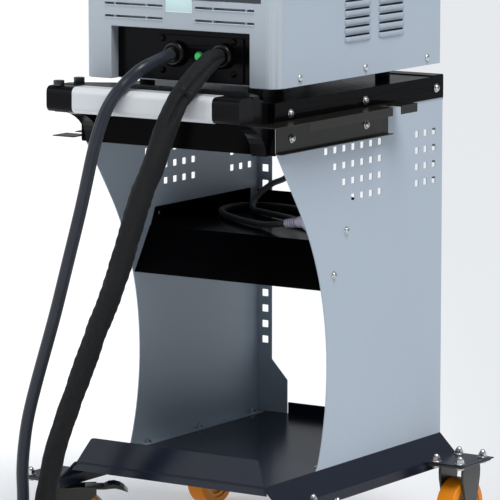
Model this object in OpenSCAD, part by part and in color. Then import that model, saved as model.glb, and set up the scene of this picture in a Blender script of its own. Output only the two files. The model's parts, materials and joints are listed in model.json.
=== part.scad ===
// Spot-welding power unit on a wheeled service trolley, with its two output cables and mains lead.
// X runs left to right across the front, -Y is the front with the push handle, Z is up.
// The origin is on the floor, under the middle of the machine.

/* [Trolley] */
// Width over the outer faces of the side panels
cart_w = 356; // [352:1:360]
// Height of the tray's top face above the floor
tray_z = 160; // [158:1:162]
// Length of the flat bottom tray
tray_l = 525; // [520:1:530]
// Sheet thickness of panels, rails and shelf
sheet = 1.5; // [1.2:0.1:1.8]
// Height of the top rails above the tray
rail_z = 585; // [580:1:590]
// Height of the shelf floor above the tray
shelf_z = 351; // [346:1:356]
// Pitch of the square perforations
hole_pitch = 26.25; // [25:0.25:27]
// Side of one square perforation
hole_side = 10.5; // [9:0.5:12]

/* [Handle] */
// Front face of the push handle, measured from the rear edge of the side panels
handle_reach = 592; // [588:1:596]
// Height and depth of the handle's section
handle_t = 40; // [38:1:42]
// Half length of the pale grip
grip_half = 129; // [120:1:140]

/* [Casters] */
// Wheel diameter
wheel_d = 100; // [98:1:102]
// Wheel width
wheel_w = 32; // [30:1:34]
// Axle radius
axle_r = 6; // [5:0.5:6]
// How far the wheel trails behind the swivel axis
trail = 35; // [32:1:38]
// Direction in which the front left wheel trails, from +X
left_turn = 36; // [0:1:359]
// Direction in which the front right wheel trails, from +X
right_turn = 118; // [0:1:359]

/* [Machine] */
// Height of the machine's cover
box_h = 300; // [290:1:310]
// Height of the feet between rails and machine
foot_h = 20; // [18:1:22]
// Pitch of the side louvers
louver_pitch = 13.6; // [13:0.1:15]
// Number of louvers in a column
louvers = 14; // [10:1:14]
// Stroke of a panel button
button_stroke = 2; // [1:0.5:2.5]

/* [Cables] */
// Diameter of the earth cable
earth_d = 19.5; // [18:0.5:20]
// Diameter of the sleeved gun cable
gun_d = 34; // [32:0.5:34]
// Diameter of the mains lead
mains_d = 10; // [9:0.5:10]

/* [Hidden] */
$fn = 48;
half = cart_w / 2;
grip_proud = 0.5;
lead_gland_y = 14;
rear_y = (handle_reach + grip_proud - lead_gland_y) / 2;
gap = 0.05;
deck = rail_z + foot_h;
roof = deck + box_h;
ear_x = half + 30;
ear_out = half + 101;
ear_z = -30;
plate_z = ear_z - 2;
plate_t = 4;
caster_x = half + 64;
rear_caster_y = -46;
front_caster_y = -487;
axle_z = wheel_d / 2 - tray_z;
bolt_dx = 22;
bolt_dy = 36;
bolt_r = 4.2;
web_x = half + 0.2 + sheet;
gap_bolts_y = [-338, -190, -32];
rail_screws_y = [-454, -239, -23];
rail_screw_z = 566;
shelf_screws = [[-292, 368], [-328, 302]];
cover_screws_y = [-425, -236, -50];
foot_x = 101;
foot_y = [-430, -60];
louvers_y = [-296, -196];
louvers_z = 668.5;
louver_l = 72;
slit_h = 3;
seam_y = -472;
face_y = -491;
back_y = -9;
well_y = -467;
fork_in = wheel_w / 2 + 3;
fork_t = 4;
fan_x = 70;
fan_z = deck + 190;
fan_r = 54;
knob_z = deck + 190;
knob_x = 80;
button_z = deck + 150;
gland_x = [-15.5, 71.5];
gland_z = [648, 649];
gland_y = -492;
led_x = 27.5;
led_r = 5.5;
led_z = 646;
earth_centre = [-309, -785];
earth_ring = 117;
gun_centre = [20, -830];
gun_ring = 170;
lug_end = [-330, -721];
lug_turn = -160;
gun_turn = 120;
mains_centre = [105, -150];
mains_ring = 55;
floor_z = -tray_z;
shelf_top = shelf_z + 0.2;

// Routes are lists of points along each cable, in the trolley's frame.
earth_route = [
    [-15.5, -492, 648], [-11, -514, 646], [-12, -538, 641], [-15, -568, 633], [-28, -587, 615],
    [-33, -599, 603.5], [-41, -604, 592], [-52, -610, 570], [-60.5, -616, 541], [-70, -620, 504],
    [-89, -624, 422],
    [-114, -630, 324], [-135, -633, 248], [-166, -636, 149], [-181, -639, 92], [-187, -642, 50],
    [-189, -645, 8], [-186, -648, -32], [-183, -653, -68], [-183, -666, -104], [-185, -690, -133],
    [-184, -725, -149], [-182, -785, -150]
];
earth_tail = [
    [-397, -795, -150], [-394, -762, -150], [-379, -738, -150], [-356, -724, -150], [-330, -721, -150]
];
gun_route = [
    [71.5, -492, 649], [76, -518, 646], [82, -550, 636.5], [90, -600.5, 613], [87, -608, 604],
    [82, -613, 594], [75, -622, 570], [67, -630, 542], [56, -635, 504], [41, -638, 469],
    [25, -640, 427],
    [-13, -642, 317], [-54, -642, 225], [-84, -642, 155], [-107, -642, 100], [-128, -643, 43],
    [-138, -645, 0], [-143, -649, -40], [-147, -660, -95], [-150, -684, -127], [-150, -725, -143],
    [-150, -830, -143]
];
gun_tail = [
    [156, -850, -143], [154, -805, -143], [138, -770, -143], [108, -748, -142], [70, -742, -141],
    [30, -745, -140]
];
mains_route = [
    [-120, 14, 650], [-120, 34, 649], [-120, 50, 642], [-120, 60, 620], [-120, 62, 590],
    [-120, 60, 520], [-121, 50, 460], [-122, 28, 415], [-124, 2, 396], [-130, -30, 389],
    [-133, -60, 377], [-129, -88, 364], [-112, -112, 357], [-80, -130, 357], [-20, -158, 357],
    [45, -196, 357], [105, -215, 357]
];
plug_route = [
    [105, -85, 367], [50, -84, 364], [-20, -72, 357], [-90, -60, 357], [-135, -63, 357],
    [-160, -92, 357], [-158, -135, 357], [-125, -180, 357], [-60, -226, 357], [0, -255, 358],
    [40, -270, 364], [76, -274, 370]
];

// Puts a piece in the trolley's own frame, whose Y starts at the panels' rear edge and Z on the tray.
module cart() {
    translate([0, rear_y, tray_z]) children();
}

// Turns a piece about a vertical axis through the given centre.
module around(centre, angle) {
    translate([centre[0], centre[1], 0]) rotate([0, 0, angle]) translate([-centre[0], -centre[1], 0])
        children();
}

// A bar along X from x0 to x1 with the profile given in Y and Z.
module along_x(x0, x1) {
    translate([x0, 0, 0]) rotate([90, 0, 90]) linear_extrude(x1 - x0) children();
}

// A bar along Y from y0 to y1 with the profile given in X and Z.
module along_y(y0, y1) {
    translate([0, y1, 0]) rotate([90, 0, 0]) linear_extrude(y1 - y0) children();
}

// A cube given by its two corners.
module block(low, high) {
    translate(low) cube(high - low);
}

module rod_x(x0, x1, y, z, r) {
    translate([x0, y, z]) rotate([0, 90, 0]) cylinder(h = x1 - x0, r = r);
}

module rod_y(y0, y1, x, z, r) {
    translate([x, y1, z]) rotate([90, 0, 0]) cylinder(h = y1 - y0, r = r);
}

module rod_z(z0, z1, x, y, r) {
    translate([x, y, z0]) cylinder(h = z1 - z0, r = r);
}

module both_sides() {
    for (side = [0, 1]) mirror([side, 0, 0]) children();
}

// A rectangle with rounded corners, centred on the origin.
module rounded(w, h, r) {
    corners = [[1, 1], [-1, 1], [-1, -1], [1, -1]];
    polygon([for (q = [0:3], a = [0:15:90])
        [corners[q][0] * (w / 2 - r) + r * cos(90 * q + a),
            corners[q][1] * (h / 2 - r) + r * sin(90 * q + a)]]);
}

// Perforations of one side panel, in Y and Z.
module perforations() {
    for (row = [0:3]) {
        z = 496.7 - row * hole_pitch;
        for (col = [row:6]) translate([-349.8 + col * hole_pitch, z]) square(hole_side, center = true);
        for (col = [0:2]) translate([-79.1 + col * hole_pitch, z]) square(hole_side, center = true);
    }
}

// Outline of a side panel in Y and Z: a straight rear edge and a hollow front edge.
module panel_outline() {
    bow_r = 451;
    bow_y = -796;
    bow_z = 157;
    arc = [for (a = [-19.5:2.5:35.5]) [bow_y + bow_r * cos(a), bow_z + bow_r * sin(a)]];
    polygon(concat([[0, 0], [-376, 0]], arc, [[-489, 506], [-489, 549], [-470, 583], [0, 583]]));
}

module side_panel() {
    difference() {
        union() {
            along_x(half - sheet, half) difference() {
                panel_outline();
                perforations();
            }
            block([half - 20, -352, 0], [half - sheet, -12, sheet]);
            along_y(-sheet, 0) difference() {
                polygon([[half, 0], [half - 60, 0], [half - 60, 56], [half - 29, 89], [half - 29, 545],
                    [half, 545]]);
                for (k = [0:14]) translate([half - 16, 121.5 + k * hole_pitch]) square(12, center = true);
            }
        }
        for (y = gap_bolts_y) rod_z(-1, sheet + 1, half - 11, y, 3);
        for (y = rail_screws_y) rod_x(half - 3, half + 1, y, rail_screw_z, 3);
        for (p = shelf_screws) rod_x(half - 3, half + 1, p[0], p[1], 3);
        rod_x(half - 3, half + 1, -238, 528, 3);
        rod_x(half - 3, half + 1, -452, 528, 3);
    }
}

module base_tray() {
    color([0.08, 0.1, 0.16]) cart() difference() {
        union() {
            block([-half, -tray_l + 3, -2], [half, 0, 0]);
            front_lip();
            block([-half + 62, -2, -2], [half - 62, 0, 19]);
            both_sides() {
                along_y(-tray_l, 0) polygon([[half - 2, 0], [half, 0], [ear_x, ear_z], [ear_x, -46],
                    [ear_x - 2, -46], [ear_x - 2, ear_z], [half - 2, -2]]);
                block([ear_x - 1, -93, plate_z], [ear_out, 1, ear_z]);
                block([ear_x - 1, -534, plate_z], [ear_out, -440, ear_z]);
            }
            block([-half, -2, -46], [half, 0, 0]);
        }
        caster_pattern() cylinder(h = 20, r = bolt_r, center = true);
        both_sides() for (y = gap_bolts_y) rod_z(-3, 1, half - 11, y, 3);
    }
}

// The sloping front lip of the tray: a plain face with slanted ends and rounded top corners.
module front_lip() {
    low = -13;
    intersection() {
        along_x(-half - 6, half + 6) polygon([[-tray_l, low], [-tray_l + 17, 38], [-tray_l + 19, 38],
            [-tray_l + 2, low]]);
        along_y(-tray_l - 1, -tray_l + 30) polygon([[-half - 5, low], [half + 5, low], [half - 20, 35],
            [half - 23, 37.5], [half - 28, 38], [-half + 28, 38], [-half + 23, 37.5], [-half + 20, 35]]);
    }
}

// Repeats a child at each of the sixteen caster bolts.
module caster_pattern() {
    for (x = [-caster_x, caster_x], y = [rear_caster_y, front_caster_y], i = [-1, 1], j = [-1, 1])
        translate([x + i * bolt_dx, y + j * bolt_dy, ear_z]) children();
}

module side_panel_left() {
    color([0.67, 0.72, 0.77]) cart() mirror([1, 0, 0]) side_panel();
}

module side_panel_right() {
    color([0.67, 0.72, 0.77]) cart() side_panel();
}

module mid_shelf() {
    inner = half - sheet;
    color([0.07, 0.07, 0.08]) cart() difference() {
        union() {
            block([-inner, -316, shelf_z - sheet], [inner, -sheet, shelf_z]);
            along_x(-inner, inner) polygon([[-316, shelf_z], [-360, 281], [-358.5, 281],
                [-314, shelf_z - sheet]]);
            both_sides() along_x(inner - sheet, inner) polygon([[-315, shelf_z - 1], [-302, 379],
                [-26, 379], [-26, shelf_z - 1]]);
            both_sides() along_x(inner - sheet, inner) polygon([[-331, 325], [-316, 318],
                [-318, 292], [-352, 292]]);
            block([-inner, -2 * sheet, shelf_z - sheet], [inner, -sheet, 374]);
        }
        both_sides() for (p = shelf_screws) rod_x(inner - 3, inner + 1, p[0], p[1], 3);
    }
}

module top_rail() {
    difference() {
        union() {
            block([half, -495, 549], [half + sheet, 0, rail_z]);
            block([half - 30, -495, rail_z - sheet], [half + sheet, 0, rail_z]);
        }
        for (y = rail_screws_y) rod_x(half - 3, half + 5, y, rail_screw_z, 3);
    }
}

module top_rail_left() {
    color([0.07, 0.07, 0.08]) cart() mirror([1, 0, 0]) top_rail();
}

module top_rail_right() {
    color([0.07, 0.07, 0.08]) cart() top_rail();
}

module cross_plates() {
    color([0.07, 0.07, 0.08]) cart() {
        block([-half - sheet, -495 - sheet, 505], [half + sheet, -495, rail_z]);
        block([-half + sheet, -495 - sheet, 505], [half - sheet, -480, 505 + sheet]);
        difference() {
            block([-half + 30, -495 - sheet, rail_z - sheet], [half - 30, sheet, rail_z]);
            both_sides() for (y = foot_y) rod_z(rail_z - 5, rail_z + 5, foot_x, y, 3);
        }
        block([-half, 0, 545], [half, sheet, rail_z]);
        block([-half, -30, rail_z], [half, sheet, rail_z + sheet]);
    }
}

// Hook bracket seen from outside: a web, a wing on one edge and a small flange on the other. The wing is
// notched from notch[0] to notch[1] and has a lip along each stretch of lips.
module hook_bracket(from_y, wing_z, notch, lips, flange_z) {
    lip_h = 12;
    difference() {
        union() {
            block([web_x - 0.2, -495, 507], [web_x - 0.2 + sheet, -172, 556]);
            block([web_x, from_y, wing_z], [half + 42, from_y + 407, wing_z + sheet]);
            block([web_x, -495, flange_z], [half + 13, -172, flange_z + sheet]);
            for (s = lips) block([half + 42 - sheet, from_y + s[0], wing_z - lip_h],
                [half + 42, from_y + s[1], wing_z + sheet]);
        }
        block([half + 12, from_y + notch[0], wing_z - 1], [half + 50, from_y + notch[1], wing_z + 3]);
        for (y = [-452, -238]) rod_x(half, half + 9, y, 528, 3);
    }
}

module hook_bracket_right() {
    color([0.07, 0.07, 0.08]) cart() hook_bracket(-555, 554.5, [333, 359], [[91, 333], [359, 407]], 507);
}

module hook_bracket_left() {
    color([0.07, 0.07, 0.08]) cart() mirror([1, 0, 0]) hook_bracket(-518, 512, [37, 60], [], 554.5);
}

module handle_section(t, r) {
    translate([-handle_reach + handle_t / 2, 580]) rounded(t, t, r);
}

module handle_bar() {
    color([0.07, 0.07, 0.08]) cart() {
        along_x(-half + 1, -grip_half) handle_section(handle_t, 10);
        along_x(-grip_half, grip_half) handle_section(handle_t - 6, 7);
        along_x(grip_half, half - 1) handle_section(handle_t, 10);
    }
}

module handle_grip() {
    color([0.85, 0.87, 0.89]) cart() along_x(-grip_half, grip_half) difference() {
        handle_section(handle_t + 2 * grip_proud, 10);
        handle_section(handle_t - 6, 7);
    }
}

// Hollow-curved arms under the handle, and the web that joins its back edge to the trolley's front.
module handle_arms() {
    back = -495 - sheet;
    handle_back = -handle_reach + handle_t;
    color([0.07, 0.07, 0.08]) cart() {
        both_sides() along_x(half - 38, half - 11) polygon(concat(
            [[handle_back, 560], [handle_back, 597], [-530, 597], [back, 585], [back, 504]],
            [for (t = [90:-10:0]) [-586 + 84 * sin(t), 504 + 56 * cos(t)]]));
        translate([0, 0, 594]) linear_extrude(6) polygon([[-half + 2, handle_back],
            [half - 2, handle_back], [half - 2, -534], [150, -515], [115, back], [-115, back],
            [-150, -515], [-half + 2, -534]]);
        block([-112, -500, 560], [112, back, 597]);
    }
}

module hook_pegs() {
    color([0.05, 0.05, 0.06]) cart() {
        rod_z(600, 608, -161.5, -handle_reach + 12, 8.5);
        rod_z(600, 608, -161.5, -527, 8.5);
    }
}

// A dome-headed screw whose head sits at x on the right-hand side.
module side_screw(x, y, z, depth, r) {
    rod_x(x - depth, x, y, z, 2.95);
    rod_x(x, x + 1.2, y, z, r + 1.5);
    rod_x(x + 1.2, x + 5, y, z, r);
}

module frame_screws() {
    color([0.78, 0.79, 0.8]) cart() both_sides() {
        for (y = rail_screws_y) side_screw(half + sheet, y, rail_screw_z, 8, 5.5);
        for (y = [-452, -238]) side_screw(web_x - 0.2 + sheet, y, 528, 9, 5.5);
        for (p = shelf_screws) side_screw(half, p[0], p[1], 6, 4.5);
    }
}

module tray_bolts() {
    color([0.78, 0.79, 0.8]) cart() both_sides() for (y = gap_bolts_y) {
        rod_z(-7, sheet, half - 11, y, 2.95);
        rod_z(sheet, sheet + 1.2, half - 11, y, 7);
        rod_z(sheet + 1.2, sheet + 6, half - 11, y, 5);
    }
}

module caster_bolts() {
    color([0.78, 0.79, 0.8]) cart() caster_pattern() {
        translate([0, 0, -8]) cylinder(h = 8, r = bolt_r - gap);
        cylinder(h = 1.5, r = 8.5);
        translate([0, 0, 1.5]) cylinder(h = 7, r = 6.5, $fn = 6);
        translate([0, 0, 8.5]) cylinder(h = 4, r = 5);
    }
}

// The bolted top plate of a caster, under an ear.
module caster_plate() {
    difference() {
        translate([-32, -46, plate_z - plate_t]) cube([64, 92, plate_t]);
        for (i = [-1, 1], j = [-1, 1])
            translate([i * bolt_dx, j * bolt_dy, plate_z - 6]) cylinder(h = 8, r = bolt_r);
    }
}

// One fork leg in the plane of the wheel: wide above, narrow at the axle.
module leg_outline(shift, top, width) {
    difference() {
        union() {
            polygon([[-width, top], [width, top], [width + 2, top - 12], [width + 1, top - 24],
                [shift + 18, axle_z + 14], [shift + 15, axle_z], [shift - 15, axle_z],
                [shift - 18, axle_z + 14], [-width - 1, top - 24], [-width - 2, top - 12]]);
            translate([shift, axle_z]) circle(15);
        }
        translate([shift, axle_z]) circle(axle_r + gap);
    }
}

module rear_forks() {
    color([0.3, 0.31, 0.33]) cart() for (x = [-caster_x, caster_x]) translate([x, rear_caster_y, 0]) {
        caster_plate();
        for (side = [0, 1]) mirror([side, 0, 0])
            along_x(fork_in, fork_in + fork_t) leg_outline(0, plate_z - plate_t, 26);
        block([-fork_in, -20, plate_z - plate_t - 5], [fork_in, 20, plate_z - plate_t]);
    }
}

// An axle bolt along X with a head and a nut outside the fork.
module axle_bolt() {
    out = fork_in + fork_t;
    rod_x(-out - 4, out + 4, 0, axle_z, axle_r);
    rod_x(-out - 6, -out, 0, axle_z, 10);
    translate([out, 0, axle_z]) rotate([0, 90, 0]) cylinder(h = 6, r = 10, $fn = 6);
}

module rear_axles() {
    color([0.78, 0.79, 0.8]) cart()
        for (x = [-caster_x, caster_x]) translate([x, rear_caster_y, 0]) axle_bolt();
}

// Wheel hub about the X axis at the origin, with a running bore.
module wheel_hub() {
    rotate([0, 90, 0]) difference() {
        union() {
            cylinder(h = wheel_w - 6, r = wheel_d / 2 - 12, center = true);
            cylinder(h = 2 * fork_in - 1, r = 13, center = true);
        }
        cylinder(h = 3 * wheel_w, r = axle_r + gap, center = true);
        for (side = [0, 1]) mirror([0, 0, side]) translate([0, 0, wheel_w / 2 - 9]) difference() {
            cylinder(h = wheel_w, r = wheel_d / 2 - 18);
            translate([0, 0, -1]) cylinder(h = wheel_w + 2, r = 13);
        }
    }
}

module wheel_tyre() {
    rotate([0, 90, 0]) rotate_extrude($fn = 96) difference() {
        translate([wheel_d / 2 - 12, -wheel_w / 2]) square([12, wheel_w]);
        for (side = [0, 1]) mirror([0, side]) translate([wheel_d / 2 - 3, wheel_w / 2 - 3]) difference() {
            square(4);
            circle(3, $fn = 32);
        }
    }
}

module rear_wheel(side) {
    cart() translate([side * caster_x, rear_caster_y, axle_z]) children();
}

module rear_wheel_hub_left() {
    color([0.92, 0.55, 0.12]) rear_wheel(-1) wheel_hub();
}

module rear_wheel_hub_right() {
    color([0.92, 0.55, 0.12]) rear_wheel(1) wheel_hub();
}

module rear_tyre_left() {
    color([0.95, 0.5, 0.1]) rear_wheel(-1) wheel_tyre();
}

module rear_tyre_right() {
    color([0.95, 0.5, 0.1]) rear_wheel(1) wheel_tyre();
}

// Places a front caster: local +Y is the way the wheel trails.
module front_caster(side) {
    turn = (side < 0 ? left_turn : right_turn) - 90;
    cart() translate([side * caster_x, front_caster_y, 0]) rotate([0, 0, turn]) children();
}

module swivel_plates() {
    color([0.3, 0.31, 0.33]) cart() for (x = [-caster_x, caster_x]) translate([x, front_caster_y, 0]) {
        caster_plate();
        translate([0, 0, plate_z - plate_t - 7]) cylinder(h = 7, r = 24);
        translate([0, 0, plate_z - plate_t - 20]) cylinder(h = 14, r = axle_r);
        translate([0, 0, plate_z - plate_t - 21]) cylinder(h = 4, r = 10);
    }
}

module front_fork() {
    crown_z = plate_z - plate_t - 7.3;
    pin_y = 62;
    pin_z = -57;
    color([0.3, 0.31, 0.33]) {
        difference() {
            union() {
                translate([0, 0, crown_z - 4]) cylinder(h = 4, r = 27);
                block([-fork_in - fork_t, -18, crown_z - 9], [fork_in + fork_t, 14, crown_z - 4]);
            }
            translate([0, 0, crown_z - 20]) cylinder(h = 30, r = axle_r + gap);
            translate([0, 0, crown_z - 20]) cylinder(h = 14, r = 10.3);
        }
        for (side = [0, 1]) mirror([side, 0, 0]) {
            along_x(fork_in, fork_in + fork_t) {
                difference() {
                    union() {
                        polygon([[-18, crown_z - 9], [30, crown_z - 9], [trail + 15, axle_z],
                            [trail - 15, axle_z]]);
                        translate([trail, axle_z]) circle(15);
                        polygon([[20, crown_z - 9], [pin_y + 3, pin_z + 6], [pin_y + 3, pin_z - 6],
                            [30, -92]]);
                    }
                    translate([trail, axle_z]) circle(axle_r + gap);
                }
            }
        }
    }
    color([0.78, 0.79, 0.8]) {
        translate([0, trail, 0]) axle_bolt();
        rod_x(-fork_in - 0.2, fork_in + 0.2, pin_y - 3, pin_z, 3);
    }
}

module front_fork_left() {
    front_caster(-1) front_fork();
}

module front_fork_right() {
    front_caster(1) front_fork();
}

module front_wheel_hub_left() {
    color([0.92, 0.55, 0.12]) front_caster(-1) translate([0, trail, axle_z]) wheel_hub();
}

module front_wheel_hub_right() {
    color([0.92, 0.55, 0.12]) front_caster(1) translate([0, trail, axle_z]) wheel_hub();
}

module front_tyre_left() {
    color([0.95, 0.5, 0.1]) front_caster(-1) translate([0, trail, axle_z]) wheel_tyre();
}

module front_tyre_right() {
    color([0.95, 0.5, 0.1]) front_caster(1) translate([0, trail, axle_z]) wheel_tyre();
}

// Brake pedal on its cross pin: a channel with a curved foot plate and a shoe over the tread.
module brake_pedal() {
    pin_y = 59;
    pin_z = -57;
    color([0.2, 0.21, 0.23]) difference() {
        union() {
            along_x(-17, 17) polygon([[pin_y - 12, -51.5], [pin_y + 18, -51.5], [pin_y + 25, -48],
                [pin_y + 34, -47], [pin_y + 43, -49.5], [pin_y + 50, -54], [pin_y + 56, -61],
                [pin_y + 46, -57], [pin_y + 36, -54.5], [pin_y + 27, -55], [pin_y + 18, -56],
                [pin_y - 12, -55.5]]);
            rod_x(-17, 17, pin_y, pin_z - 1, 5.2);
        }
        rod_x(-20, 20, pin_y, pin_z, 3 + gap);
        rod_z(-80, -40, 0, pin_y + 15, 4);
    }
}

module brake_pedal_left() {
    front_caster(-1) brake_pedal();
}

module brake_pedal_right() {
    front_caster(1) brake_pedal();
}

module machine_feet() {
    color([0.08, 0.08, 0.09]) cart() both_sides() for (y = foot_y) {
        rod_z(rail_z, deck, foot_x, y, 12);
        rod_z(rail_z - 6, rail_z, foot_x, y, 2.95);
    }
}

module machine_base() {
    inner = half - sheet;
    color([0.55, 0.58, 0.62]) cart() {
        block([-inner, seam_y, deck], [inner, back_y - 2, deck + sheet]);
        both_sides() difference() {
            block([inner - sheet, seam_y, deck], [inner, back_y - 2, deck + 25]);
            for (y = cover_screws_y) rod_x(inner - 3, inner + 1, y, deck + 12, 2.5);
        }
    }
}

module machine_cover() {
    color([0.67, 0.72, 0.77]) cart() difference() {
        union() {
            difference() {
                block([-half, seam_y, deck], [half, back_y, roof]);
                block([-half + sheet, seam_y - 1, deck - 1], [half - sheet, back_y + 1, roof - sheet]);
            }
            both_sides() for (y = cover_screws_y) {
                rod_x(half, half + 1, y, deck + 12, 5.8);
                rod_x(half - 5, half, y, deck + 12, 2.45);
            }
        }
        both_sides() for (y = louvers_y, k = [0:louvers - 1])
            translate([half, y, louvers_z + k * louver_pitch]) block([-4, 0, 0], [4, louver_l, slit_h]);
    }
}

// Front moulding with a well for the cable outlets, two rows of grille slots and a panel recess.
module front_bezel() {
    corner_r = 18;
    slot_h = 3.4;
    turn = [for (a = [0:15:90]) [half - corner_r + corner_r * cos(a), face_y + corner_r - corner_r * sin(a)]];
    outline = concat([[half, seam_y]], turn, [for (i = [len(turn) - 1:-1:0]) [-turn[i][0], turn[i][1]]],
        [[-half, seam_y]]);
    color([0.63, 0.67, 0.71]) cart() difference() {
        translate([0, 0, deck]) linear_extrude(box_h) polygon(outline);
        block([-126, face_y - 1, deck - 1], [130, seam_y + 1, deck + 82]);
        block([-150, face_y - 1, deck + 128], [150, face_y + 3, roof - 30]);
        for (z = [97.5, 117]) both_sides()
            block([30, face_y - 1, deck + z - slot_h / 2], [138, face_y + 12, deck + z + slot_h / 2]);
        for (x = [-knob_x, knob_x]) rod_y(face_y - 1, seam_y + 1, x, knob_z, 4.05);
        for (x = [-20, 20]) rod_y(face_y - 1, seam_y + 1, x, button_z, 6.2);
    }
}

// The steel plate that closes the bezel's well from behind.
module well_plate() {
    color([0.08, 0.08, 0.09]) cart() difference() {
        block([-137, seam_y, deck + sheet], [137, well_y, deck + 90]);
        for (i = [0, 1]) rod_y(seam_y - 1, well_y + 1, gland_x[i], gland_z[i], 15);
    }
}

module control_panel() {
    color([0.1, 0.11, 0.13]) cart() difference() {
        block([-149, face_y + 1, deck + 129], [149, face_y + 3, roof - 31]);
        for (x = [-knob_x, knob_x]) rod_y(face_y - 1, seam_y + 1, x, knob_z, 4.05);
        for (x = [-20, 20]) rod_y(face_y - 1, seam_y + 1, x, button_z, 6.2);
    }
}

module connector_plate() {
    color([0.09, 0.09, 0.1]) cart() difference() {
        block([-50, seam_y - 3, deck + 3], [108, seam_y, deck + 72]);
        for (i = [0, 1]) rod_y(seam_y - 5, well_y + 1, gland_x[i], gland_z[i], 15);
        rod_y(seam_y - 5, seam_y + 1, led_x, led_z, led_r);
    }
}

module cable_glands() {
    color([0.06, 0.06, 0.07]) cart() for (i = [0, 1]) {
        rod_y(well_y + 0.5 - 20, well_y - 1, gland_x[i], gland_z[i], 14.9);
        difference() {
            rod_y(seam_y - 15, seam_y - 3, gland_x[i], gland_z[i], 21);
            rod_y(seam_y - 30, seam_y, gland_x[i], gland_z[i], 14.9);
        }
        rod_y(gland_y, seam_y - 12, gland_x[i], gland_z[i], 14.9);
    }
}

module power_led() {
    color([0.15, 0.8, 0.3]) cart() rod_y(seam_y - 8, seam_y, led_x, led_z, led_r);
}

module rear_panel() {
    color([0.67, 0.72, 0.77]) cart() difference() {
        block([-half + sheet, back_y - 2, deck + sheet], [half - sheet, back_y, roof - sheet]);
        rod_y(-20, 0, fan_x, fan_z, fan_r);
        rod_y(-20, 0, -120, 650, 9);
        block([-134, -20, deck + 110], [-106, 0, deck + 150]);
    }
    color([0.06, 0.06, 0.07]) cart() rod_y(back_y - 6, lead_gland_y, -120, 650, 8.9);
}

module fan_frame() {
    color([0.1, 0.1, 0.11]) cart() {
        difference() {
            block([fan_x - 60, back_y - 27, fan_z - 60], [fan_x + 60, back_y - 2, fan_z + 60]);
            rod_y(-60, 0, fan_x, fan_z, fan_r);
        }
        for (r = [14, 27, 40, 53]) translate([fan_x, back_y + 2.5, fan_z]) rotate([90, 0, 0]) difference() {
            cylinder(h = 2.5, r = r + 1);
            translate([0, 0, -1]) cylinder(h = 5, r = r - 1);
        }
        for (a = [45, 135]) translate([fan_x, back_y + 1.2, fan_z]) rotate([0, a, 0])
            cube([116, 2, 3], center = true);
        for (a = [0, 90]) translate([fan_x, back_y - 25.5, fan_z]) rotate([0, a, 0])
            cube([110, 3, 4], center = true);
        rod_y(back_y - 24, back_y - 4, fan_x, fan_z, 4);
    }
}

module fan_rotor() {
    color([0.14, 0.14, 0.15]) cart() translate([fan_x, back_y - 5, fan_z]) rotate([90, 0, 0]) difference() {
        union() {
            cylinder(h = 17, r = 18);
            for (a = [0:51.43:309]) rotate([0, 0, a]) translate([34, 0, 8.5]) rotate([35, 0, 0])
                cube([36, 22, 1.6], center = true);
        }
        translate([0, 0, -1]) cylinder(h = 30, r = 4 + gap);
    }
}

module mains_switch() {
    color([0.7, 0.1, 0.1]) cart() translate([-120, back_y + 1, deck + 130]) rotate([90, 0, 90])
        linear_extrude(26, center = true) {
            polygon([[-10, -19], [0, -19], [4, 0], [2.5, 19], [-10, 19]]);
            circle(r = 4.6);
        }
}

module knob(x) {
    cart() {
        rod_y(face_y - 2, seam_y, x, knob_z, 4);
        rod_y(face_y - 18, face_y - 2, x, knob_z, 15);
        block([x - 1.2, face_y - 19.5, knob_z + 2], [x + 1.2, face_y - 17, knob_z + 14]);
    }
}

module current_knob() {
    color([0.12, 0.12, 0.13]) knob(-knob_x);
}

module time_knob() {
    color([0.12, 0.12, 0.13]) knob(knob_x);
}

module button(x) {
    cart() rod_y(face_y - 3, face_y + 10, x, button_z, 6);
}

module mode_button() {
    color([0.75, 0.76, 0.78]) button(-20);
}

module start_button() {
    color([0.15, 0.6, 0.25]) button(20);
}

module transformer_core() {
    color([0.35, 0.35, 0.37]) cart() difference() {
        block([-70, -330, deck + sheet], [70, -190, deck + 140]);
        both_sides() block([24, -340, deck + 28], [48, -180, deck + 112]);
    }
}

module transformer_coils() {
    color([0.72, 0.4, 0.2]) cart() difference() {
        block([-44, -358, deck + 32], [44, -162, deck + 108]);
        block([-24.2, -340, deck + 20], [24.2, -180, deck + 120]);
    }
}

module control_board() {
    color([0.1, 0.35, 0.2]) cart() {
        block([-110, -460, deck + 150], [110, -458, deck + 250]);
        block([-90, -458, deck + 165], [-50, -435, deck + 200]);
        block([20, -458, deck + 170], [50, -440, deck + 230]);
    }
}

// Spreads a ring of points around each point of a route and joins them as one tube.
function unit(v) = v / norm(v);
function heading(p, i) = unit(p[min(i + 1, len(p) - 1)] - p[max(i - 1, 0)]);
function across(d) = unit(cross(d, abs(d[0]) < 0.8 ? [1, 0, 0.1] : [0, 1, 0.1]));
function ring(p, i, r, n) = let (d = heading(p, i), u = across(d), v = cross(d, u))
    [for (k = [0:n - 1]) p[i] + r * (cos(360 * k / n) * u + sin(360 * k / n) * v)];
module tube(p, d, n) {
    m = len(p);
    points = [for (i = [0:m - 1]) each ring(p, i, d / 2, n)];
    sides = [for (i = [0:m - 2], k = [0:n - 1]) [i * n + k, i * n + (k + 1) % n,
        (i + 1) * n + (k + 1) % n, (i + 1) * n + k]];
    ends = [[for (k = [n - 1:-1:0]) k], [for (k = [0:n - 1]) (m - 1) * n + k]];
    polyhedron(points, concat(sides, ends), convexity = 8);
}

module coil_ring(radius, w, h) {
    rotate_extrude($fn = 96) translate([radius, h / 2]) rounded(w, h, min(w, h) / 2 - 0.1);
}

module earth_cable() {
    color([0.23, 0.25, 0.29]) cart() {
        tube(earth_route, earth_d, 10);
        around(earth_centre, lug_turn) tube(earth_tail, earth_d, 10);
    }
}

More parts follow.
